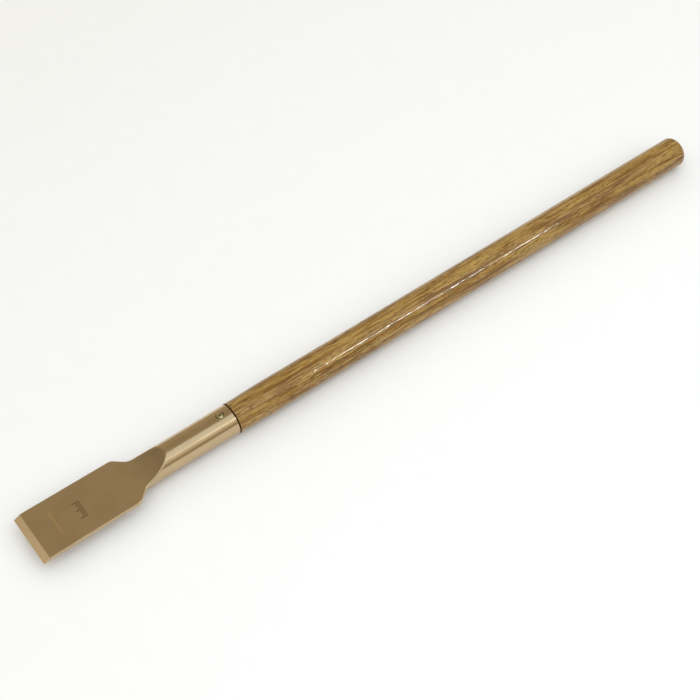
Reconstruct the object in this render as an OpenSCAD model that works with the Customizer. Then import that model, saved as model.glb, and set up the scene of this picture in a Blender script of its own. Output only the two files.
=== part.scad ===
// Long-handled socket chisel: a bronze head made in one piece with its socket, a washer, a turned
// oak handle whose taper sits in the socket, and the screw that holds the two together.
//
// All lengths are in millimetres. Each piece is drawn with the middle of the cutting edge at X = 0,
// the handle's axis along +X and the face of the blade upwards. place() then moves the whole tool,
// so that the origin is under its middle, on the surface that the handle lies on.

/* [Blade] */
// Width of the cutting edge
edge_w = 60; // [45:1:80]
// Angle by which each side of the blade runs in towards the shoulders
side_draft = 0.4; // [0:0.1:2]
// Thickness of the blade
blade_t = 4.3; // [3:0.1:7]
// Height of the blade's face above the handle's axis
face_rise = 2.75; // [1:0.05:5]
// Angle of the ground bevel to the blade's back
bevel_angle = 30; // [25:1:40]
// Thickness left at the very edge
edge_land = 0.2; // [0.1:0.05:0.5]
// Distance from the cutting edge to the corners of the shoulders
shoulder_x = 106.5; // [80:0.5:140]
// Angle between each shoulder and the handle's axis
shoulder_angle = 41; // [35:1:60]
// Radius that rounds the corners of the shoulders
shoulder_r = 8; // [3:0.5:9]
// Radius of the hollow where each shoulder meets the socket
neck_r = 16; // [6:0.5:18]

/* [Socket] */
// Distance from the cutting edge to the socket's rim
head_l = 228.5; // [190:0.5:300]
// Outer diameter of the socket at the shoulders
neck_d = 31.9; // [28:0.1:40]
// Outer diameter of the socket at its rim
rim_d = 32.4; // [28:0.1:40]
// Rounding of the rim's outer edge
rim_round = 0.6; // [0.2:0.1:1]
// How far before the end of the neck the face starts to curve up
face_runout_lead = 16.5; // [10:0.5:20]
// Radius of the curve from the face up to the top of the socket
face_runout_r = 66; // [40:1:80]
// How far before the end of the neck the back starts to curve down
back_runout_lead = 19; // [10:0.5:25]
// Radius of the curve from the back down to the bottom of the socket
back_runout_r = 22; // [18:1:40]
// How far the hollow of the neck runs in behind the socket's widest line
neck_tuck = 0.1; // [0.1:0.1:1.5]
// Length over which the sides of the neck fade into the socket
neck_fade = 4; // [2:0.5:8]
// Thickness of the socket's wall at the rim
rim_wall = 2.6; // [2:0.1:4]
// Distance from where the curve of the face ends to the bottom of the tapered bore
bore_floor = 2; // [1:0.5:10]
// Angle by which the bore's wall runs in towards its end
bore_taper = 2; // [1:0.1:3]

/* [Handle] */
// Length of the handle from the washer to its end
handle_l = 598; // [300:1:900]
// How far the handle's shoulder stands out from the socket's rim, all round
shoulder_step = 0.3; // [0:0.05:2]
// How far the swell behind the washer stands out from the handle's shoulder, all round
swell_rise = 0.7; // [0.1:0.05:3]
// Distance from the washer to the middle of the swell
swell_x = 41; // [20:1:80]
// Diameter of the straight stretch that the hands hold
grip_d = 33.74; // [28:0.02:40]
// Distance from the washer to the start of the straight stretch
grip_x = 171; // [100:1:220]
// Radius that rounds the end of the handle
end_round = 8.4; // [2:0.1:12]
// Room around the handle's taper inside the socket
taper_gap = 0.1; // [0.05:0.05:0.3]
// Room between the end of the handle's taper and the bottom of the bore
taper_end_gap = 3; // [1:0.5:6]

/* [Washer] */
// Thickness of the washer between the rim and the handle
washer_t = 1.25; // [0.8:0.05:3]
// How far the washer stands out from the socket's rim, all round
washer_step = 0.35; // [0:0.05:2]

/* [Screw] */
// Distance from the rim to the screw's axis
screw_inset = 12; // [8:0.5:25]
// Diameter of the screw's head
screw_head_d = 7.2; // [6:0.1:9]
// Height of the domed top of the head
screw_dome_h = 1.2; // [0.6:0.1:2]
// Diameter of the plain shank, which is that of the crests of the thread too
screw_shank_d = 4; // [3:0.1:5]
// Diameter at the root of the thread
screw_root_d = 2.9; // [2:0.1:4]
// Distance from one thread to the next
screw_pitch = 1.8; // [1.2:0.1:2.4]
// Number of threads
screw_threads = 5; // [3:1:7]
// Room around the screw in the socket's wall
screw_gap = 0.2; // [0.1:0.05:0.4]
// Width of each arm of the cross recess
recess_w = 1; // [0.6:0.1:1.5]
// Length of each arm of the cross recess, from end to end
recess_l = 4; // [3:0.1:5]
// Depth of the cross recess below the top of the dome
recess_depth = 1.7; // [1:0.1:2.5]
// Angle that the driven screw has stopped at
recess_turn = 20; // [0:5:90]

/* [Hidden] */
$fn = 96;
bronze = [0.64, 0.51, 0.35];
dark_leather = [0.26, 0.15, 0.10];
oak = [0.68, 0.53, 0.31];
yellow_brass = [0.68, 0.62, 0.38];
// How far a cutter runs past the faces that it cuts
over = 1;
// Number of flats in which an arc or a turned curve is drawn
arc_steps = 12;
curve_steps = 16;

neck_rad = neck_d / 2;
rim_rad = rim_d / 2;
back_z = face_rise - blade_t;
bevel_l = (blade_t - edge_land) / tan(bevel_angle);
shoulder_half_w = edge_w / 2 - shoulder_x * tan(side_draft);
// Half width that the shoulders run down to, and the corner where they would meet it
neck_half_w = neck_rad - neck_tuck;
neck_corner_x = shoulder_x + (shoulder_half_w - neck_half_w) / tan(shoulder_angle);
neck_end_x = neck_corner_x + neck_r * tan(shoulder_angle / 2);
neck_fade_x = neck_end_x + neck_fade;
face_runout_x = neck_end_x - face_runout_lead;
back_runout_x = neck_end_x - back_runout_lead;
// Where the curve of the face meets the top of the socket
tongue_tip_x = face_runout_x + sqrt(pow(face_runout_r, 2) - pow(face_runout_r - (neck_rad - face_rise), 2));
// Where the round body of the socket starts, inside the blade
socket_root_x = min(shoulder_x, face_runout_x, back_runout_x) - over;
// Distance from the axis to a side outline that clears the socket all round
clear_r = max(neck_rad, rim_rad) + over;

mouth_rad = rim_rad - rim_wall;
bore_end_x = tongue_tip_x + bore_floor;
bore_end_rad = bore_rad_at(bore_end_x);

taper_end_x = bore_end_x + taper_end_gap;
shoulder_face_x = head_l + washer_t;
overall_l = shoulder_face_x + handle_l;
shoulder_rad = rim_rad + shoulder_step;
swell_rad = shoulder_rad + swell_rise;
grip_rad = grip_d / 2;
washer_rad = rim_rad + washer_step;
// Height of the axis above the surface that the tool lies on
axis_h = max(swell_rad, grip_rad, washer_rad, neck_rad);

// The screw's head sits with its edge level with the sides of the countersink
screw_x = head_l - screw_inset;
screw_head_rad = screw_head_d / 2;
screw_shank_rad = screw_shank_d / 2;
screw_root_rad = screw_root_d / 2;
wall_rad_at_screw = neck_rad + (rim_rad - neck_rad) * (screw_x - socket_root_x) / (head_l - socket_root_x);
screw_seat_z = sqrt(pow(wall_rad_at_screw, 2) - pow(screw_head_rad, 2));
screw_cone_h = screw_head_rad - screw_shank_rad;
thread_top_z = bore_rad_at(screw_x) - over;
thread_end_z = thread_top_z - screw_threads * screw_pitch;
screw_tip_z = thread_end_z - screw_pitch;

function dir(a) = [cos(a), sin(a)];

// Radius of the bore at a distance from the cutting edge
function bore_rad_at(x) = mouth_rad - (head_l - x) * tan(bore_taper);

// Radius of the handle's taper there
function taper_rad_at(x) = bore_rad_at(x) - taper_gap;

// Points of an arc about c, from angle a to angle b
function arc(c, r, a, b) = [for (i = [0:arc_steps]) c + r * dir(a + (b - a) * i / arc_steps)];

// The arc of radius r that rounds corner p, where direction a turns into direction b
function round_corner(p, a, b, r) =
    let (side = sign(b - a) * 90)
    let (c = p - r * tan(abs(b - a) / 2) * dir(a) + r * dir(a + side))
    arc(c, r, a - side, b - side);

// Points of a smooth curve along X, from radius a at x0 to radius b at x1
function swept(x0, a, x1, b) = [
    for (i = [0:curve_steps])
        let (t = i / curve_steps)
        [x0 + (x1 - x0) * t, a + (b - a) * (1 - cos(180 * t)) / 2]
];

// Points of the same list on the other side of the X axis, in the opposite order
function mirrored(points) = [for (i = [len(points) - 1:-1:0]) [points[i].x, -points[i].y]];

module place() {
    translate([-overall_l / 2, 0, axis_h]) children();
}

// A turned piece, from an outline of [distance along X, radius] points that starts and ends on the axis
module turned(points) {
    rotate([0, 90, 0]) rotate_extrude() polygon([for (p = points) [p.y, p.x]]);
}

// Height of the curved face at a distance from the cutting edge past the start of its runout
function face_z_at(x) = face_rise + face_runout_r - sqrt(pow(face_runout_r, 2) - pow(x - face_runout_x, 2));

// One side of the blade seen from above, from the cutting edge to where it has faded into the socket
function blade_side() = concat(
    [[0, edge_w / 2]],
    round_corner([shoulder_x, shoulder_half_w], -side_draft, -shoulder_angle, shoulder_r),
    round_corner([neck_corner_x, neck_half_w], -shoulder_angle, 0, neck_r),
    [[neck_fade_x, sqrt(pow(neck_rad, 2) - pow(face_z_at(neck_fade_x), 2)) - neck_tuck]]
);

// The head seen from the side: land, bevel, face, runout to the top of the socket, and back
module head_side_outline() {
    face_run = acos((face_runout_r - (clear_r - face_rise)) / face_runout_r);
    back_run = acos((back_runout_r - (clear_r + back_z)) / back_runout_r);
    polygon(concat(
        [[0, back_z], [0, back_z + edge_land], [bevel_l, face_rise]],
        arc([face_runout_x, face_rise + face_runout_r], face_runout_r, -90, face_run - 90),
        [[head_l + over, clear_r], [head_l + over, -clear_r]],
        arc([back_runout_x, back_z - back_runout_r], back_runout_r, 90 - back_run, 90)
    ));
}

module blade_block() {
    side = blade_side();
    translate([0, 0, back_z]) linear_extrude(clear_r - back_z) polygon(concat(side, mirrored(side)));
}

module socket_body() {
    turned(concat(
        [[socket_root_x, 0], [socket_root_x, neck_rad]],
        arc([head_l - rim_round, rim_rad - rim_round], rim_round, 90, 0),
        [[head_l, 0]]
    ));
}

module socket_bore() {
    turned([
        [bore_end_x - bore_end_rad / 2, 0],
        [bore_end_x, bore_end_rad],
        [head_l + over, bore_rad_at(head_l + over)],
        [head_l + over, 0]
    ]);
}

// Through hole and countersink for the screw
module screw_seat() {
    sink_rad = screw_head_rad + screw_gap;
    hole_rad = screw_shank_rad + screw_gap;
    sink_h = sink_rad - hole_rad;
    rise = clear_r - screw_seat_z;
    translate([screw_x, 0, 0]) {
        cylinder(h = clear_r, r = hole_rad);
        translate([0, 0, screw_seat_z - sink_h])
            cylinder(h = sink_h + rise, r1 = hole_rad, r2 = sink_rad + rise);
    }
}

module chisel_head() {
    color(bronze) place() difference() {
        intersection() {
            union() {
                blade_block();
                socket_body();
            }
            rotate([90, 0, 0]) linear_extrude(edge_w + 2 * over, center = true) head_side_outline();
        }
        socket_bore();
        screw_seat();
    }
}

module shoulder_washer() {
    color(dark_leather) place() translate([head_l, 0, 0]) rotate([0, 90, 0]) difference() {
        cylinder(h = washer_t, r = washer_rad);
        translate([0, 0, -over]) cylinder(h = washer_t + 2 * over, r = bore_rad_at(shoulder_face_x));
    }
}

module handle() {
    color(oak) place() difference() {
        turned(concat(
            [[taper_end_x, 0], [taper_end_x, taper_rad_at(taper_end_x)]],
            [[shoulder_face_x, taper_rad_at(shoulder_face_x)]],
            swept(shoulder_face_x, shoulder_rad, shoulder_face_x + swell_x, swell_rad),
            swept(shoulder_face_x + swell_x, swell_rad, shoulder_face_x + grip_x, grip_rad),
            arc([overall_l - end_round, grip_rad - end_round], end_round, 90, 0),
            [[overall_l, 0]]
        ));
        translate([screw_x, 0, screw_tip_z]) cylinder(h = clear_r, r = screw_shank_rad);
    }
}

// The wood screw: domed countersunk head, plain shank, ridges of the thread and point
module retaining_screw() {
    dome_r = (pow(screw_head_rad, 2) + pow(screw_dome_h, 2)) / (2 * screw_dome_h);
    dome_half = asin(screw_head_rad / dome_r);
    top_z = screw_seat_z + screw_dome_h;
    ridges = [
        for (i = [0:screw_threads - 1])
            let (z = thread_top_z - i * screw_pitch)
            each [
                [screw_root_rad, z],
                [screw_shank_rad, z - screw_pitch / 3],
                [screw_root_rad, z - 2 * screw_pitch / 3]
            ]
    ];
    outline = concat(
        [for (p = arc([0, top_z - dome_r], dome_r, 90, 90 - dome_half)) [max(p.x, 0), p.y]],
        [[screw_shank_rad, screw_seat_z - screw_cone_h], [screw_shank_rad, thread_top_z + screw_pitch / 3]],
        ridges,
        [[screw_root_rad, thread_end_z], [0, screw_tip_z]]
    );
    color(yellow_brass) place() translate([screw_x, 0, 0]) difference() {
        rotate_extrude() polygon(outline);
        for (turn = [0, 90]) {
            rotate([0, 0, recess_turn + turn])
                translate([-recess_l / 2, -recess_w / 2, top_z - recess_depth])
                    cube([recess_l, recess_w, recess_depth + over]);
        }
    }
}

chisel_head();
shoulder_washer();
handle();
retaining_screw();
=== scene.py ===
import math

import bmesh
import bpy
from mathutils import Matrix, Vector


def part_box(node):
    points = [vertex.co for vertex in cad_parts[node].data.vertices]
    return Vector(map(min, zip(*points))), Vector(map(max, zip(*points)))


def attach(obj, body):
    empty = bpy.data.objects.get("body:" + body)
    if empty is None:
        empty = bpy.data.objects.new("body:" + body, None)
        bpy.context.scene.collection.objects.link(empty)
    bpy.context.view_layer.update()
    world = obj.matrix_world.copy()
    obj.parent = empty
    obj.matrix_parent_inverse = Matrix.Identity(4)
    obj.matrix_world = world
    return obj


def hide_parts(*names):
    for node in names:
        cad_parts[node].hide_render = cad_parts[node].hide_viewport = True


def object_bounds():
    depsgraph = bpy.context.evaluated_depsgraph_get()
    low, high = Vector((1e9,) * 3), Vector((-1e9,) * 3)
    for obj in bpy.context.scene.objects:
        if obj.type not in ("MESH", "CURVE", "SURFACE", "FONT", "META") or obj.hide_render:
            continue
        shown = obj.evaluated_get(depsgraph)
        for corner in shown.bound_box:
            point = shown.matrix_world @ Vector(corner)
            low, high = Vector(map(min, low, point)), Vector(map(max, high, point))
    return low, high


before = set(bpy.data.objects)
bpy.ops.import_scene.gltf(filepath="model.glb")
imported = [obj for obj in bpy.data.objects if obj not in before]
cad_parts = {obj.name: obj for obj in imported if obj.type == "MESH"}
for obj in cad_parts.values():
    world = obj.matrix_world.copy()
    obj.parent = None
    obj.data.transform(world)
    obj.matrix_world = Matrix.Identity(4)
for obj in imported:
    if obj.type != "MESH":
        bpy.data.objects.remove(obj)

# A long-handled socket chisel. Every piece is modelled in millimetres, with the middle of the cutting
# edge at the origin, the handle's axis along +X and the blade's face up, and is then put in the frame.

CAD_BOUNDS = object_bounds()
MM = 0.001

head_low, head_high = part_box("chisel_head")
washer_low, washer_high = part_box("shoulder_washer")
handle_low, handle_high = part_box("handle")
screw_low, screw_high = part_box("retaining_screw")

# Places along the tool, measured from the cutting edge
EDGE_X = head_low.x
AXIS_Z = (head_low.z + head_high.z) / 2
RIM_X = (head_high.x - EDGE_X) / MM
SHOULDER_FACE_X = (washer_high.x - EDGE_X) / MM
END_X = (handle_high.x - EDGE_X) / MM
SCREW_X = ((screw_low.x + screw_high.x) / 2 - EDGE_X) / MM

# Blade
EDGE_W = (head_high.y - head_low.y) / MM
SIDE_DRAFT = math.radians(0.4)
FACE_Z = 2.75
BACK_Z = -1.55
EDGE_LAND = 0.2
BEVEL_ANGLE = math.radians(30)
SHOULDER_X = 106.5
SHOULDER_ANGLE = math.radians(41)
FACE_RUNOUT_LEAD = 10.52
FACE_RUNOUT_R = 66.0
BACK_RUNOUT_LEAD = 13.02
BACK_RUNOUT_R = 22.0

# How far from each corner of the head its surface starts to round
EDGE_SOFTNESS = 0.7
BEVEL_REACH = 0.3
SHOULDER_REACH = 2.4
NECK_REACH = 4.6
NECK_SOFTNESS = 1.5
NECK_BLEND = 5.0
NECK_TUCK = 0.1
NECK_FADE = 0.02

# Points round half of a cross-section of the head
TOP_STEPS = 14
SIDE_STEPS = 28
BOTTOM_STEPS = 34
TIP_SPREAD = 0.978
HALVINGS = 24

# Socket
RIM_RAD = (head_high.z - head_low.z) / 2 / MM
NECK_RAD = 15.95
RIM_WALL = 2.6
RIM_ROUND = 0.6
BORE_TAPER = math.radians(2)
BORE_FLOOR = 2.0

# Washer and handle
WASHER_RAD = (washer_high.z - washer_low.z) / 2 / MM
WASHER_ROUND = 0.25
SHOULDER_RAD = RIM_RAD + 0.3
SHOULDER_EASE = 0.3
SWELL_RAD = (handle_high.z - handle_low.z) / 2 / MM
SWELL_X = SHOULDER_FACE_X + 41
GRIP_X = SHOULDER_FACE_X + 171
GRIP_RAD = 16.87
GRIP_PARTS = 14
END_ROUND = 8.4
TAPER_GAP = 0.1
TAPER_END_GAP = 3.0

# Screw and its seat
SCREW_HEAD_RAD = (screw_high.x - screw_low.x) / 2 / MM
SCREW_SHANK_RAD = 2.0
SCREW_ROOT_RAD = 1.45
SCREW_GAP = 0.4
SCREW_TOP_Z = (screw_high.z - AXIS_Z) / MM
SCREW_TIP_Z = (screw_low.z - AXIS_Z) / MM
SCREW_THREADS = 5
SCREW_PITCH = 1.8
SCREW_DOME = 1.2
DOME_STEPS = 8
POINT_RAD = 0.1
DOME_TOP_RAD = 0.05
RECESS_L = 4.0
RECESS_W = 1.0
RECESS_DEPTH = 1.7
RECESS_TURN = math.radians(20)
RECESS_FLOOR = (0.55, 0.6, 1)

# Plain punched marks on the face: a row of bars, and a fainter row of small strokes
BAR_X = 55.5
BAR_Y = -1.0
BAR_COUNT = 9
BAR_STEP = 2.35
BAR_LONG = 8.0
BAR_SHORT = 5.0
BAR_W = 0.9
BAR_DEPTH = 0.25
LONG_BAR_EVERY = 4
FAINT_X = 30.0
FAINT_COUNT = 14
FAINT_STEP = 2.1
FAINT_LONG = 3.4
FAINT_SHORT = 2.4
FAINT_W = 0.5
FAINT_DEPTH = 0.06
LONG_FAINT_EVERY = 3

OVER = 1.0
SIDES = 128
SMALL_SIDES = 48
FACING = 0.9

SHOULDER_HALF_W = EDGE_W / 2 - SHOULDER_X * math.tan(SIDE_DRAFT)
NECK_HALF_W = NECK_RAD - NECK_TUCK
NECK_CORNER_X = SHOULDER_X + (SHOULDER_HALF_W - NECK_HALF_W) / math.tan(SHOULDER_ANGLE)
FACE_RUNOUT_X = NECK_CORNER_X - FACE_RUNOUT_LEAD
BACK_RUNOUT_X = NECK_CORNER_X - BACK_RUNOUT_LEAD
BEVEL_L = (FACE_Z - BACK_Z - EDGE_LAND) / math.tan(BEVEL_ANGLE)
CLEAR_R = RIM_RAD + OVER
ROOT_X = SHOULDER_X - OVER
TONGUE_TIP_X = FACE_RUNOUT_X + math.sqrt(FACE_RUNOUT_R**2 - (FACE_RUNOUT_R - NECK_RAD + FACE_Z) ** 2)
BORE_END_X = TONGUE_TIP_X + BORE_FLOOR
SCREW_SEAT_Z = SCREW_TOP_Z - SCREW_DOME


def bore_rad(x):
    """Radius of the socket's tapered bore."""
    return RIM_RAD - RIM_WALL - (RIM_X - x) * math.tan(BORE_TAPER)


# ---- small tools for modelling by hand -------------------------------------------------------------


def deselect():
    for obj in bpy.context.selected_objects:
        obj.select_set(False)


def make_active(obj):
    deselect()
    obj.select_set(True)
    bpy.context.view_layer.objects.active = obj


def edit(obj):
    make_active(obj)
    bpy.ops.object.mode_set(mode="EDIT")


def done():
    bpy.ops.object.mode_set(mode="OBJECT")


def pick(obj, kind, test):
    """In edit mode, selects the vertices, edges or faces whose middle passes the test."""
    bpy.ops.mesh.select_mode(type=kind)
    bpy.ops.mesh.select_all(action="DESELECT")
    mesh = bmesh.from_edit_mesh(obj.data)
    if kind == "VERT":
        for vert in mesh.verts:
            vert.select_set(test(vert.co))
    elif kind == "EDGE":
        for edge in mesh.edges:
            edge.select_set(test((edge.verts[0].co + edge.verts[1].co) / 2))
    else:
        for face in mesh.faces:
            face.select_set(test(face.calc_center_median(), face.normal))
    mesh.select_flush_mode()
    bmesh.update_edit_mesh(obj.data)


def push(vector):
    bpy.ops.mesh.extrude_region_move(TRANSFORM_OT_translate={"value": vector})


def grow(factors, center):
    bpy.ops.transform.resize(value=factors, center_override=center)


def apply_transform():
    bpy.ops.object.transform_apply(location=True, rotation=True, scale=True)


def modify(obj, kind, **settings):
    """Adds a modifier, sets it and applies it."""
    make_active(obj)
    modifier = obj.modifiers.new(kind.lower(), kind)
    for name, value in settings.items():
        setattr(modifier, name, value)
    bpy.ops.object.modifier_apply(modifier=modifier.name)


def combine(obj, other, operation):
    """Cuts or joins another solid into this one, and removes it."""
    modify(obj, "BOOLEAN", object=other, operation=operation, solver="EXACT")
    bpy.data.objects.remove(other)


def turned(name, profile, sides=SIDES):
    """A turned solid: a circle that is extruded and scaled along X through [place, radius] pairs."""
    deselect()
    x0, r0 = profile[0]
    bpy.ops.mesh.primitive_circle_add(
        vertices=sides, radius=r0, fill_type="NGON", location=(x0, 0, 0), rotation=(0, math.pi / 2, 0)
    )
    obj = bpy.context.object
    obj.name = name
    apply_transform()
    edit(obj)
    bpy.ops.mesh.select_all(action="SELECT")
    for (xa, ra), (xb, rb) in zip(profile, profile[1:]):
        push((xb - xa, 0, 0))
        grow((1, rb / ra, rb / ra), (xb, 0, 0))
    bpy.ops.mesh.select_all(action="SELECT")
    bpy.ops.mesh.normals_make_consistent(inside=False)
    done()
    return obj


def box_between(low, high):
    deselect()
    low, high = Vector(low), Vector(high)
    bpy.ops.mesh.primitive_cube_add(size=1, location=(low + high) / 2)
    obj = bpy.context.object
    obj.scale = high - low
    apply_transform()
    return obj


def arc(cx, cy, r, start, end, steps):
    """Points of an arc, from one angle to another, in degrees."""
    angles = [math.radians(start + (end - start) * i / steps) for i in range(steps + 1)]
    return [(cx + r * math.cos(a), cy + r * math.sin(a)) for a in angles]


def eased(x0, a, x1, b, steps):
    """Points of a smooth curve from radius a at x0 to radius b at x1."""
    parts = [i / steps for i in range(steps + 1)]
    return [(x0 + (x1 - x0) * t, a + (b - a) * (1 - math.cos(math.pi * t)) / 2) for t in parts]


def dress(obj, material):
    """Gives a piece one finish all over."""
    obj.data.materials.clear()
    obj.data.materials.append(material)


def into_frame(obj, name, node):
    """Moves a finished piece from millimetres about the cutting edge into the frame, in metres."""
    obj.name = name
    make_active(obj)
    obj.scale = (MM, MM, MM)
    obj.location = (EDGE_X, 0, AXIS_Z)
    apply_transform()
    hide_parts(node)
    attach(obj, "root")


# ---- the head ----------------------------------------------------------------------------------------


def smooth_min(a, b, reach):
    """The lesser of two distances, blended where they differ by less than the reach."""
    near = max(reach - abs(a - b), 0) / reach
    return min(a, b) - near * near * reach / 4


def smooth_max(a, b, reach):
    """The greater of two distances, blended in the same way."""
    return -smooth_min(-a, -b, reach)


def ease(x, start, end):
    """Goes smoothly from 0 at the start to 1 at the end."""
    t = min(max((x - start) / (end - start), 0), 1)
    return t * t * (3 - 2 * t)


def half_width(x):
    """Half the width of the blade seen from above; past the neck it shrinks away inside the socket."""
    side = EDGE_W / 2 - x * math.tan(SIDE_DRAFT)
    shoulder = SHOULDER_HALF_W - (x - SHOULDER_X) * math.tan(SHOULDER_ANGLE)
    fade = NECK_FADE * max(x - NECK_CORNER_X, 0) ** 2
    return smooth_max(smooth_min(side, shoulder, SHOULDER_REACH), NECK_HALF_W, NECK_REACH) - fade


def socket_rad(x):
    """Outer radius of the socket, with its rounded rim."""
    if x > RIM_X - RIM_ROUND:
        return RIM_RAD - RIM_ROUND + math.sqrt(max(RIM_ROUND**2 - (x - RIM_X + RIM_ROUND) ** 2, 0))
    return NECK_RAD + (RIM_RAD - NECK_RAD) * (x - ROOT_X) / (RIM_X - RIM_ROUND - ROOT_X)


def face_z(x):
    """Height of the upper surface: the ground bevel, the face, and its curve up to the socket."""
    if x < FACE_RUNOUT_X:
        bevel = BACK_Z + EDGE_LAND + x * math.tan(BEVEL_ANGLE)
        return smooth_min(bevel, FACE_Z, BEVEL_REACH)
    run = min(x - FACE_RUNOUT_X, FACE_RUNOUT_R)
    return FACE_Z + FACE_RUNOUT_R - math.sqrt(FACE_RUNOUT_R**2 - run**2)


def back_z(x):
    """Height of the underside: the flat back, and its curve down to the socket."""
    run = min(max(x - BACK_RUNOUT_X, 0), BACK_RUNOUT_R)
    return BACK_Z - BACK_RUNOUT_R + math.sqrt(BACK_RUNOUT_R**2 - run**2)


def edge_reach(x):
    """How far from its edge the face starts to round: a little on the blade, more along the neck."""
    thick = face_z(x) - BACK_Z
    blade = min(EDGE_SOFTNESS, thick / 2)
    return blade + (NECK_SOFTNESS - blade) * ease(x, SHOULDER_X, NECK_CORNER_X + 4)


def outside(x, y, z, levels):
    """Distance outside the head's surface, less than nothing inside it."""
    half_w, radius, top, bottom, reach = levels
    low_reach = min(EDGE_SOFTNESS, reach)
    blade = smooth_max(abs(y) - half_w, BACK_Z - z, low_reach)
    body = blade if x < ROOT_X else smooth_min(blade, math.hypot(y, z) - radius, NECK_BLEND)
    return smooth_max(smooth_max(body, bottom - z, low_reach), z - top, reach)


def section_center(x):
    """Height of the point that a cross-section is drawn about."""
    return (min(face_z(x), FACE_Z) + BACK_Z) / 2


def head_guides(x):
    """Points round half of a cross-section, close together at its corners, that its points lie behind."""
    half_w, radius, top = half_width(x), socket_rad(x), face_z(x)
    top = min(top, TIP_SPREAD * radius) if x > ROOT_X else top
    corner_y = half_w if x < ROOT_X else max(half_w, math.sqrt(radius**2 - top**2))
    bottom_y = half_w if x < ROOT_X else max(half_w, math.sqrt(radius**2 - BACK_Z**2))
    center = section_center(x)
    guides = []
    for i in range(TOP_STEPS):
        guides.append((corner_y * (1 - (1 - i / TOP_STEPS) ** 2), top))
    high = math.atan2(top - center, corner_y)
    low = math.atan2(BACK_Z - center, bottom_y)
    for i in range(SIDE_STEPS):
        angle = high + (low - high) * i / SIDE_STEPS
        guides.append((math.cos(angle), center + math.sin(angle)))
    turn = ease(x, SHOULDER_X, SHOULDER_X + 10)
    crowding = 1.8 - 0.8 * turn
    for i in range(BOTTOM_STEPS + 1):
        part = (i / BOTTOM_STEPS) ** crowding
        angle = low + (-math.pi / 2 - low) * part
        round_y = bottom_y * math.cos(angle)
        round_z = bottom_y * math.sin(angle)
        flat_y = half_w * (1 - part)
        guides.append((flat_y + (round_y - flat_y) * turn, BACK_Z + (round_z - BACK_Z) * turn))
    return guides


def head_section(x):
    """The points of one cross-section, all the way round."""
    levels = (half_width(x), socket_rad(x), face_z(x), back_z(x), edge_reach(x))
    center = section_center(x)
    half = []
    for y, z in head_guides(x):
        length = math.hypot(y, z - center)
        step_y = y / length
        step_z = (z - center) / length
        near = 0.0
        far = EDGE_W
        for _ in range(HALVINGS):
            middle = (near + far) / 2
            if outside(x, step_y * middle, center + step_z * middle, levels) > 0:
                far = middle
            else:
                near = middle
        half.append((x, step_y * near, center + step_z * near))
    return half + [(px, -py, pz) for px, py, pz in half[-2:0:-1]]


def head_places():
    """Distances along the head of its cross-sections, close together where it curves."""
    bevel = [0, 0.4, 1.2, 2.5, 4, 5.5, 6.3, 6.7]
    crease = [BEVEL_L + BEVEL_REACH * i / 2 for i in (-1.5, -1, -0.5, 0, 0.5, 1, 1.5)]
    blade = [8.2, 9.5, 12] + list(range(20, 100, 10)) + [98, 100]
    neck = [101 + 0.6 * i for i in range(79)]
    tip = [148.3 + 0.25 * i for i in range(18)]
    socket = [153.5, 155, 158, 163, 170, 180, 190, 200, 210, 220, 226, RIM_X - RIM_ROUND - 0.3]
    turns = [math.radians(angle) for angle in (0, 18, 36, 54, 72, 90)]
    rim = [RIM_X - RIM_ROUND + RIM_ROUND * math.sin(turn) for turn in turns]
    return bevel + crease + blade + neck + tip + socket + rim


def head_body():
    """Blade and socket in one smooth piece, skinned over its cross-sections."""
    mesh = bmesh.new()
    rings = [[mesh.verts.new(point) for point in head_section(x)] for x in head_places()]
    for ring, following in zip(rings, rings[1:]):
        for i, vert in enumerate(ring):
            mesh.faces.new((vert, ring[i - 1], following[i - 1], following[i]))
    mesh.faces.new(rings[0])
    mesh.faces.new(rings[-1])
    bmesh.ops.recalc_face_normals(mesh, faces=mesh.faces)
    data = bpy.data.meshes.new("chisel_head")
    mesh.to_mesh(data)
    mesh.free()
    head = bpy.data.objects.new("chisel_head", data)
    bpy.context.scene.collection.objects.link(head)
    return head


def socket_bore():
    """The tapered bore, with a shallow cone at its end."""
    return turned("bore", [(BORE_END_X - 4, 0.4), (BORE_END_X, bore_rad(BORE_END_X)),
                           (RIM_X + OVER, bore_rad(RIM_X + OVER))])


def stand_up(obj, x):
    """Turns a piece that was turned along X to point up, at a distance along the tool."""
    make_active(obj)
    obj.rotation_euler = (0, -math.pi / 2, 0)
    obj.location = (x, 0, 0)
    apply_transform()
    return obj


def screw_seat():
    """Hole and countersink, from the middle of the socket outwards."""
    sink_rad = SCREW_HEAD_RAD + SCREW_GAP
    hole_rad = SCREW_SHANK_RAD + SCREW_GAP
    sink_z = SCREW_SEAT_Z - (sink_rad - hole_rad)
    rise = CLEAR_R - SCREW_SEAT_Z
    profile = [(0, hole_rad), (sink_z, hole_rad), (CLEAR_R, sink_rad + rise)]
    return stand_up(turned("seat", profile, SMALL_SIDES), SCREW_X)


def bar(x, y, length, width, depth):
    """What punches one plain bar into the face, lengthways along the tool."""
    low = (x - length / 2, y - width / 2, FACE_Z - depth)
    high = (x + length / 2, y + width / 2, FACE_Z + OVER)
    return box_between(low, high)


def size_bars():
    """Long and short bars, level with each other at the end nearer the socket."""
    bars = []
    for i in range(BAR_COUNT):
        length = BAR_LONG if i % LONG_BAR_EVERY == 0 else BAR_SHORT
        y = BAR_Y + (i - (BAR_COUNT - 1) / 2) * BAR_STEP
        bars.append(bar(BAR_X + (BAR_LONG - length) / 2, y, length, BAR_W, BAR_DEPTH))
    return bars


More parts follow.
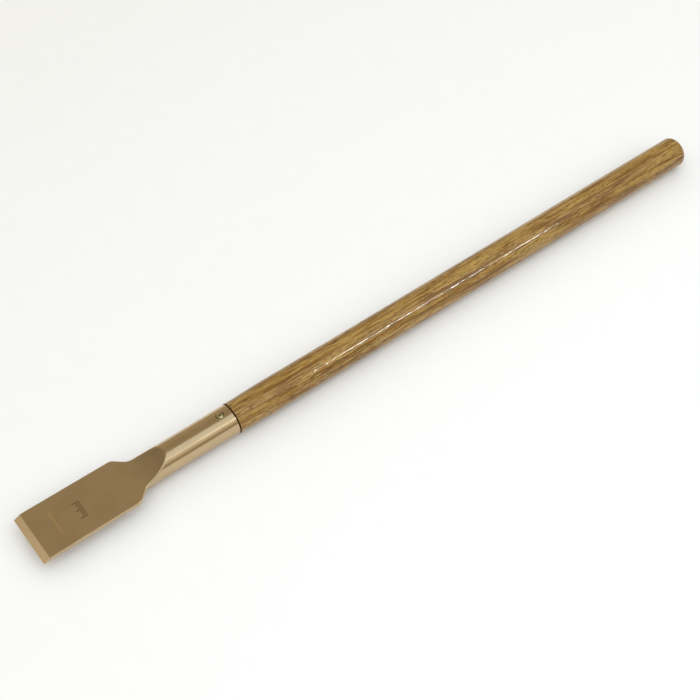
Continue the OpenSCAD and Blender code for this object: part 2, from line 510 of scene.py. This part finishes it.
def faint_row():
    """Small shallow strokes, level with each other at their middles."""
    bars = []
    for i in range(FAINT_COUNT):
        length = FAINT_LONG if i % LONG_FAINT_EVERY == 0 else FAINT_SHORT
        y = (i - (FAINT_COUNT - 1) / 2) * FAINT_STEP
        bars.append(bar(FAINT_X, y, length, FAINT_W, FAINT_DEPTH))
    return bars


def joined(pieces):
    """Makes several pieces one."""
    deselect()
    for piece in pieces:
        piece.select_set(True)
    bpy.context.view_layer.objects.active = pieces[0]
    bpy.ops.object.join()
    return pieces[0]


def chisel_head():
    head = head_body()
    combine(head, socket_bore(), "DIFFERENCE")
    combine(head, screw_seat(), "DIFFERENCE")
    combine(head, joined(size_bars() + faint_row()), "DIFFERENCE")
    finish_head(head)
    make_active(head)
    bpy.ops.object.shade_smooth_by_angle(angle=math.radians(32))
    return head


def everywhere(co, normal):
    return True


def on_face(co, normal):
    return co.x < TONGUE_TIP_X and abs(co.z - face_z(co.x)) < 0.12


def on_back(co, normal):
    return normal.z < -FACING and co.x < BACK_RUNOUT_X


def on_bevel(co, normal):
    return co.x < BEVEL_L and 0.5 < normal.z < 0.95


def in_row(co, x, length, y, width):
    """True below the face, within a row of punched marks."""
    sunk = BACK_Z + 1 < co.z < FACE_Z - 0.01
    return sunk and abs(co.x - x) < length / 2 + 0.5 and abs(co.y - y) < width / 2


def in_size_bars(co, normal):
    return in_row(co, BAR_X, BAR_LONG, BAR_Y, BAR_COUNT * BAR_STEP)


def in_faint_row(co, normal):
    return in_row(co, FAINT_X, FAINT_LONG, 0, FAINT_COUNT * FAINT_STEP)


# Walls of the countersink and hole round the screw head, which are painted dark as shade of the gap round
# the head
def in_screw_seat(co, normal):
    beside = math.hypot(co.x - SCREW_X, co.y) < SCREW_HEAD_RAD + 0.6
    return beside and co.z > SCREW_SEAT_Z - 4 and abs(normal.z) < 0.8


def finish_head(head):
    """Gives each region of the head its own finish."""
    finishes = [ground_face(), ground_bevel(), polished_socket(), dark_punching_and_seat_shade(), bright_punching()]
    face, bevel, socket, dark, bright = range(len(finishes))
    head.data.materials.clear()
    for material in finishes:
        head.data.materials.append(material)
    regions = [
        (socket, everywhere),
        (face, on_face),
        (face, on_back),
        (bevel, on_bevel),
        (dark, in_size_bars),
        (bright, in_faint_row),
        # painted shade: the countersink wall round the screw head takes the dark finish, standing in for
        # the shadowed gap
        (dark, in_screw_seat),
    ]
    edit(head)
    for slot, test in regions:
        pick(head, "FACE", test)
        head.active_material_index = slot
        bpy.ops.object.material_slot_assign()
    done()


# ---- washer, handle and screw ------------------------------------------------------------------------


def shoulder_washer():
    """A leather ring, its rims pressed slightly round."""
    inner_rad = WASHER_RAD - WASHER_ROUND
    washer = turned("washer", [(RIM_X, inner_rad), (RIM_X + WASHER_ROUND, WASHER_RAD),
                               (SHOULDER_FACE_X - WASHER_ROUND, WASHER_RAD), (SHOULDER_FACE_X, inner_rad)])
    hole = bore_rad(SHOULDER_FACE_X)
    combine(washer, turned("hole", [(RIM_X - OVER, hole), (SHOULDER_FACE_X + OVER, hole)]), "DIFFERENCE")
    make_active(washer)
    bpy.ops.object.shade_smooth_by_angle(angle=math.radians(40))
    return washer


def handle():
    """One turned length: the taper in the socket, the shoulder, the swell, the grip and the round end."""
    taper_start = BORE_END_X + TAPER_END_GAP
    grip_l = END_X - END_ROUND - GRIP_X
    grip = [(GRIP_X + grip_l * i / GRIP_PARTS, GRIP_RAD) for i in range(1, GRIP_PARTS)]
    profile = (
        [(taper_start, bore_rad(taper_start) - TAPER_GAP)]
        + [(SHOULDER_FACE_X, bore_rad(SHOULDER_FACE_X) - TAPER_GAP)]
        + [(SHOULDER_FACE_X, SHOULDER_RAD - SHOULDER_EASE)]
        + [(SHOULDER_FACE_X + SHOULDER_EASE, SHOULDER_RAD)]
        + eased(SHOULDER_FACE_X + SHOULDER_EASE, SHOULDER_RAD, SWELL_X, SWELL_RAD, 10)[1:]
        + eased(SWELL_X, SWELL_RAD, GRIP_X, GRIP_RAD, 16)[1:]
        + grip
        + arc(END_X - END_ROUND, GRIP_RAD - END_ROUND, END_ROUND, 90, 0, 14)
    )
    wood = turned("handle", profile)
    pilot = turned("hole", [(SCREW_TIP_Z, SCREW_SHANK_RAD), (CLEAR_R, SCREW_SHANK_RAD)], SMALL_SIDES)
    combine(wood, stand_up(pilot, SCREW_X), "DIFFERENCE")
    make_active(wood)
    bpy.ops.object.shade_smooth_by_angle(angle=math.radians(35))
    return wood


def screw_profile():
    """Radii of the screw from its point to the top of its dome."""
    thread_top = bore_rad(SCREW_X) - OVER
    profile = [(SCREW_TIP_Z, POINT_RAD)]
    for i in range(SCREW_THREADS - 1, -1, -1):
        z = thread_top - i * SCREW_PITCH
        profile += [(z - 2 * SCREW_PITCH / 3, SCREW_ROOT_RAD), (z - SCREW_PITCH / 3, SCREW_SHANK_RAD)]
    profile += [(thread_top, SCREW_ROOT_RAD), (thread_top + SCREW_PITCH / 3, SCREW_SHANK_RAD)]
    profile += [(SCREW_SEAT_Z - (SCREW_HEAD_RAD - SCREW_SHANK_RAD), SCREW_SHANK_RAD)]
    dome_r = (SCREW_HEAD_RAD**2 + SCREW_DOME**2) / (2 * SCREW_DOME)
    half = math.asin(SCREW_HEAD_RAD / dome_r)
    for i in range(DOME_STEPS + 1):
        a = half * (1 - i / DOME_STEPS)
        z = SCREW_TOP_Z - dome_r + dome_r * math.cos(a)
        profile += [(z, max(dome_r * math.sin(a), DOME_TOP_RAD))]
    return profile


def recess_arm(turn):
    """One arm of the cross recess, narrower at its floor."""
    low = (-RECESS_L / 2, -RECESS_W / 2, SCREW_TOP_Z - RECESS_DEPTH)
    high = (RECESS_L / 2, RECESS_W / 2, CLEAR_R + OVER)
    arm = box_between(low, high)
    edit(arm)
    pick(arm, "FACE", lambda co, normal: normal.z < -FACING)
    grow(RECESS_FLOOR, (0, 0, 0))
    done()
    make_active(arm)
    arm.rotation_euler = (0, 0, RECESS_TURN + turn)
    arm.location = (SCREW_X, 0, 0)
    apply_transform()
    return arm


def retaining_screw():
    screw = stand_up(turned("screw", screw_profile(), SMALL_SIDES), SCREW_X)
    for turn in (0, math.pi / 2):
        combine(screw, recess_arm(turn), "DIFFERENCE")
    make_active(screw)
    bpy.ops.object.shade_smooth_by_angle(angle=math.radians(35))
    return screw


# ---- materials ---------------------------------------------------------------------------------------


class Finish:
    """A material, with short calls for the nodes that its pattern is made of."""

    def __init__(self, name, metallic, roughness):
        self.material = bpy.data.materials.new(name)
        self.material.use_nodes = True
        self.tree = self.material.node_tree
        self.shader = self.tree.nodes["Principled BSDF"]
        self.shader.inputs["Metallic"].default_value = metallic
        self.shader.inputs["Roughness"].default_value = roughness
        self.coordinates = self.tree.nodes.new("ShaderNodeTexCoord")

    def put(self, kind, settings, inputs):
        node = self.tree.nodes.new(kind)
        for name, value in settings.items():
            setattr(node, name, value)
        for name, value in inputs.items():
            if isinstance(value, bpy.types.NodeSocket):
                self.tree.links.new(value, node.inputs[name])
            else:
                node.inputs[name].default_value = value
        return node

    def place(self, scale, turn=(0, 0, 0), shift=(0, 0, 0)):
        """Object coordinates, stretched: the scale is in features per metre along each axis."""
        inputs = {"Vector": self.coordinates.outputs["Object"], "Scale": scale, "Rotation": turn,
                  "Location": shift}
        return self.put("ShaderNodeMapping", {}, inputs).outputs["Vector"]

    def noise(self, scale, detail=3.0, roughness=0.55, distortion=0.0, turn=(0, 0, 0), shift=(0, 0, 0)):
        inputs = {"Vector": self.place(scale, turn, shift), "Scale": 1.0, "Detail": detail,
                  "Roughness": roughness, "Distortion": distortion}
        return self.put("ShaderNodeTexNoise", {}, inputs).outputs["Fac"]

    def between(self, value, low, high, to_low=0.0, to_high=1.0):
        inputs = {"Value": value, "From Min": low, "From Max": high, "To Min": to_low, "To Max": to_high}
        settings = {"interpolation_type": "SMOOTHSTEP"}
        return self.put("ShaderNodeMapRange", settings, inputs).outputs["Result"]

    def calculate(self, operation, a, b):
        return self.put("ShaderNodeMath", {"operation": operation}, {0: a, 1: b}).outputs[0]

    def mix(self, factor, a, b, blend="MIX"):
        node = self.put("ShaderNodeMix", {"data_type": "RGBA", "blend_type": blend}, {0: factor})
        for socket, value in ((node.inputs[6], a), (node.inputs[7], b)):
            if isinstance(value, bpy.types.NodeSocket):
                self.tree.links.new(value, socket)
            else:
                socket.default_value = (*value, 1)
        return node.outputs[2]

    def paint_shade_towards(self, start, end, amount):
        """Paints shade into the base colour, lowering it from one place along the tool to another."""
        along = self.put("ShaderNodeSeparateXYZ", {}, {"Vector": self.coordinates.outputs["Object"]})
        tone = self.between(along.outputs["X"], start, end, 1.0, amount)
        colour = self.shader.inputs["Base Color"].links[0].from_socket
        shade = self.put("ShaderNodeCombineColor", {}, {"Red": tone, "Green": tone, "Blue": tone})
        self.set("Base Color", self.mix(1.0, colour, shade.outputs["Color"], "MULTIPLY"))

    def bump(self, height, strength, distance):
        inputs = {"Height": height, "Strength": strength, "Distance": distance}
        return self.put("ShaderNodeBump", {}, inputs).outputs["Normal"]

    def set(self, name, value):
        if isinstance(value, bpy.types.NodeSocket):
            self.tree.links.new(value, self.shader.inputs[name])
        else:
            self.shader.inputs[name].default_value = value


BRONZE = (0.56, 0.424, 0.257)
BRONZE_DULL = (0.53, 0.396, 0.238)
BRONZE_WARM = (0.62, 0.45, 0.25)


def bronze(name, roughness, grain, depth, spread=0.05, bright=1.0):
    """Bronze with a fine grain that runs as the given stretch says."""
    finish = Finish(name, 1.0, roughness)
    clouds = finish.noise((30, 45, 45), 3, 0.5)
    lines = finish.noise(grain, 3, 0.6)
    clean, dull, warm = [tuple(c * bright for c in tone) for tone in (BRONZE, BRONZE_DULL, BRONZE_WARM)]
    base = finish.mix(finish.between(clouds, 0.4, 0.65), clean, dull)
    finish.set("Base Color", finish.mix(finish.between(lines, 0.55, 0.8, 0, 0.35), base, warm))
    finish.set("Roughness", finish.between(lines, 0.2, 0.8, roughness - spread, roughness + spread))
    finish.set("Normal", finish.bump(lines, 0.35, depth))
    return finish


def ground_face():
    """The face, with shade painted into its colour where it curves up to the socket."""
    finish = bronze("bronze_ground_face", 0.36, (700, 2600, 2600), 0.00002)
    # painted shade: the base colour darkens towards the tongue's tip, where the face curves up to the
    # socket
    finish.paint_shade_towards(EDGE_X + SHOULDER_X * MM, EDGE_X + TONGUE_TIP_X * MM, 0.86)
    return finish.material


def ground_bevel():
    """The bevel, ground across the blade and left duller and paler than the face."""
    finish = bronze("bronze_ground_bevel", 0.55, (900, 130, 900), 0.00008, 0.08, 1.37)
    finish.set("Metallic", 0.82)
    return finish.material


def polished_socket():
    """The socket, buffed along its length."""
    return bronze("bronze_polished_socket", 0.2, (60, 1500, 1500), 0.00001).material


# Dark bronze for the punched bars, and painted shade on the countersink wall round the screw head
def dark_punching_and_seat_shade():
    finish = Finish("bronze_dark_punching", 1.0, 0.55)
    spots = finish.noise((900, 900, 900), 2)
    finish.set("Base Color", finish.mix(spots, (0.16, 0.11, 0.055), (0.30, 0.21, 0.11)))
    return finish.material


def bright_punching():
    finish = Finish("bronze_bright_punching", 1.0, 0.3)
    spots = finish.noise((900, 900, 900), 2)
    finish.set("Base Color", finish.mix(spots, (0.78, 0.56, 0.22), (0.9, 0.66, 0.3)))
    return finish.material


OAK_GOLD = (0.27, 0.146, 0.03)
OAK_LIGHT = (0.43, 0.27, 0.078)
OAK_BROWN = (0.16, 0.072, 0.014)
OAK_PORE = (0.1, 0.043, 0.009)
OAK_RAY = (0.27, 0.11, 0.01)
OAK_TILT = math.radians(1.2)


def oak_wood():
    """Straight-grained oak under clear lacquer: rings, fibres, open pores and rays, in the solid."""
    oak = Finish("oak_lacquered", 0.0, 0.45)
    lean = (0, 0, OAK_TILT)
    drift = oak.noise((9, 70, 70), 2, 0.5, turn=lean)
    rings = oak.noise((5, 330, 90), 2, 0.45, 0.5, turn=(0.5, 0, OAK_TILT))
    fibres = oak.noise((26, 430, 430), 5, 0.7, turn=lean)
    streaks = oak.noise((14, 340, 340), 4, 0.65, 0.3, turn=lean, shift=(0.3, 7.1, 2.9))
    pores = oak.noise((110, 1300, 1300), 2, 0.5, turn=lean, shift=(1.7, 0.4, 5.3))
    rays = oak.noise((170, 480, 480), 1, 0.4, 0.4, turn=lean, shift=(4.2, 3.3, 0.8))
    colour = oak.mix(oak.between(drift, 0.38, 0.62), OAK_GOLD, OAK_LIGHT)
    colour = oak.mix(oak.between(streaks, 0.46, 0.58, 0, 0.9), colour, OAK_BROWN)
    colour = oak.mix(oak.between(fibres, 0.5, 0.59, 0, 0.85), colour, OAK_LIGHT)
    colour = oak.mix(oak.between(rays, 0.58, 0.68, 0, 0.7), colour, OAK_RAY)
    open_rings = oak.between(rings, 0.42, 0.6)
    pore_shapes = oak.between(pores, 0.54, 0.64)
    pore_depth = oak.calculate("ADD", open_rings, 0.3)
    open_pores = oak.calculate("MULTIPLY", pore_shapes, pore_depth)
    colour = oak.mix(oak.calculate("MULTIPLY", open_pores, 0.8), colour, OAK_PORE)
    oak.set("Base Color", colour)
    oak.set("Roughness", oak.between(fibres, 0.3, 0.7, 0.38, 0.52))
    oak.set("Specular IOR Level", 0.12)
    oak.set("Coat Weight", 1.0)
    oak.set("Coat IOR", 1.3)
    oak.set("Coat Roughness", 0.05)
    height = oak.calculate("SUBTRACT", fibres, open_pores)
    oak.set("Normal", oak.bump(height, 0.4, 0.0003))
    lacquer = oak.calculate("SUBTRACT", streaks, open_pores)
    oak.set("Coat Normal", oak.bump(lacquer, 0.02, 0.0002))
    return oak.material


def dark_leather():
    leather = Finish("leather_dark", 0.0, 0.8)
    pebbles = leather.noise((900, 900, 900), 3, 0.6)
    colour = leather.mix(leather.between(pebbles, 0.35, 0.7), (0.035, 0.012, 0.005), (0.08, 0.031, 0.012))
    leather.set("Specular IOR Level", 0.05)
    leather.set("Base Color", colour)
    leather.set("Normal", leather.bump(pebbles, 0.5, 0.0002))
    return leather.material


def yellow_brass():
    brass = Finish("brass_screw", 1.0, 0.3)
    tarnish = brass.noise((700, 700, 700), 3, 0.6)
    colour = brass.mix(brass.between(tarnish, 0.35, 0.7), (0.61, 0.53, 0.27), (0.36, 0.32, 0.17))
    brass.set("Base Color", colour)
    brass.set("Roughness", brass.between(tarnish, 0.3, 0.7, 0.24, 0.42))
    brass.set("Normal", brass.bump(tarnish, 0.3, 0.00005))
    return brass.material


def floor_white():
    floor = Finish("floor_white", 0.0, 0.9)
    grain = floor.noise((40, 40, 40), 2)
    floor.set("Base Color", floor.mix(grain, (0.90, 0.90, 0.90), (0.92, 0.92, 0.92)))
    floor.set("Specular IOR Level", 0.1)
    return floor.material


# ---- camera, floor and light -------------------------------------------------------------------------

CAMERA_AZIMUTH = -32.94
CAMERA_ELEVATION = 52.35
CAMERA_ROLL = -4.05
CAMERA_DISTANCE = 1.5284
CAMERA_LENS = 77.14
CAMERA_AIM = Vector((-0.04255, -0.0031, AXIS_Z))

ROOM_COLOUR = (1.0, 0.87, 0.64, 1)
ROOM_LEVEL = 0.45
ROOM_DARK_END = 0.85
ROOM_LIGHT_SIDE = 1.22
BACKDROP_COLOUR = (0.93, 0.93, 0.92, 1)
FLOOR_SIZE = 7

def add_camera():
    turn = (
        Matrix.Rotation(math.radians(CAMERA_AZIMUTH), 4, "Z")
        @ Matrix.Rotation(math.radians(90 - CAMERA_ELEVATION), 4, "X")
        @ Matrix.Rotation(math.radians(CAMERA_ROLL), 4, "Z")
    )
    data = bpy.data.cameras.new("camera")
    data.lens = CAMERA_LENS
    camera = bpy.data.objects.new("camera", data)
    bpy.context.scene.collection.objects.link(camera)
    camera.matrix_world = Matrix.Translation(CAMERA_AIM + turn.col[2].to_3d() * CAMERA_DISTANCE) @ turn
    bpy.context.scene.camera = camera


def softbox(name, center, aim, width, height, radiance, colour=(1, 1, 1)):
    """A rectangular light of an even brightness that faces a point, its width level and along X."""
    data = bpy.data.lights.new(name, "AREA")
    data.shape = "RECTANGLE"
    data.size = width
    data.size_y = height
    data.energy = radiance * math.pi * width * height
    data.color = colour
    light = bpy.data.objects.new(name, data)
    bpy.context.scene.collection.objects.link(light)
    back = (Vector(center) - Vector(aim)).normalized()
    level = Vector((0, 1, 0)) if abs(back.x) > 0.7 else Vector((1, 0, 0))
    across = (level - back * level.dot(back)).normalized()
    turn = Matrix((across, back.cross(across), back)).transposed().to_4x4()
    light.matrix_world = Matrix.Translation(center) @ turn
    return light


def add_floor():
    deselect()
    bpy.ops.mesh.primitive_plane_add(size=FLOOR_SIZE, location=(0, 0, CAD_BOUNDS[0].z))
    floor = bpy.context.object
    floor.name = "floor"
    apply_transform()
    floor.data.materials.append(floor_white())


def ramp(tree, value, across, levels):
    """Turns a value that runs across one range into levels of another."""
    node = tree.nodes.new("ShaderNodeMapRange")
    node.inputs["From Min"].default_value = across[0]
    node.inputs["From Max"].default_value = across[1]
    node.inputs["To Min"].default_value = levels[0]
    node.inputs["To Max"].default_value = levels[1]
    tree.links.new(value, node.inputs["Value"])
    return node.outputs["Result"]


def add_room():
    """A warm room, darker beyond the blade and lighter low on the far side, with a pale backdrop."""
    world = bpy.data.worlds.new("studio")
    bpy.context.scene.world = world
    world.use_nodes = True
    tree = world.node_tree
    nodes, links = tree.nodes, tree.links
    direction = nodes.new("ShaderNodeTexCoord")
    parts = nodes.new("ShaderNodeSeparateXYZ")
    links.new(direction.outputs["Generated"], parts.inputs["Vector"])
    darker = ramp(tree, parts.outputs["X"], (-0.7, 0.1), (ROOM_LEVEL * ROOM_DARK_END, ROOM_LEVEL))
    lighter = ramp(tree, parts.outputs["Y"], (0.6, 0.85), (1.0, ROOM_LIGHT_SIDE))
    level = nodes.new("ShaderNodeMath")
    level.operation = "MULTIPLY"
    links.new(darker, level.inputs[0])
    links.new(lighter, level.inputs[1])
    room = nodes["Background"]
    room.inputs["Color"].default_value = ROOM_COLOUR
    links.new(level.outputs["Value"], room.inputs["Strength"])
    backdrop = nodes.new("ShaderNodeBackground")
    backdrop.inputs["Color"].default_value = BACKDROP_COLOUR
    seen = nodes.new("ShaderNodeMixShader")
    links.new(nodes.new("ShaderNodeLightPath").outputs["Is Camera Ray"], seen.inputs["Fac"])
    links.new(room.outputs["Background"], seen.inputs[1])
    links.new(backdrop.outputs["Background"], seen.inputs[2])
    links.new(seen.outputs["Shader"], nodes["World Output"].inputs["Surface"])


def add_studio():
    """The room, a wide overhead box, two thin strips under it, a low front box and a broad soft fill."""
    add_room()
    bpy.context.scene.view_settings.view_transform = "Standard"
    softbox("overhead_box", (0.2, -0.84, 1.3), (0.2, -0.84, 0), 2.2, 1.52, 0.85, (0.69, 0.85, 1.0))
    for strip in (
        softbox("near_strip", (-0.205, -1.3, 1.25), (-0.205, 0, 0), 1.39, 0.055, 1.1, (0.8, 0.9, 1.0)),
        softbox("far_strip", (0.842, -1.3, 1.25), (0.842, 0, 0), 0.687, 0.03, 170.0),
    ):
        strip.visible_diffuse = False
    softbox("front_box", (0.2, -1.62, 0.87), (0, 0, 0), 2.4, 0.45, 0.42)
    fill = softbox("fill", (0, 0, 2.6), (0, 0, 0), 11, 11, 0.66, (0.86, 0.92, 1.0))
    fill.visible_glossy = False


add_camera()
add_studio()
add_floor()

head = chisel_head()
into_frame(head, "head", "chisel_head")

washer = shoulder_washer()
dress(washer, dark_leather())
into_frame(washer, "leather_washer", "shoulder_washer")

wood = handle()
dress(wood, oak_wood())
into_frame(wood, "oak_handle", "handle")

screw = retaining_screw()
dress(screw, yellow_brass())
into_frame(screw, "brass_screw", "retaining_screw")
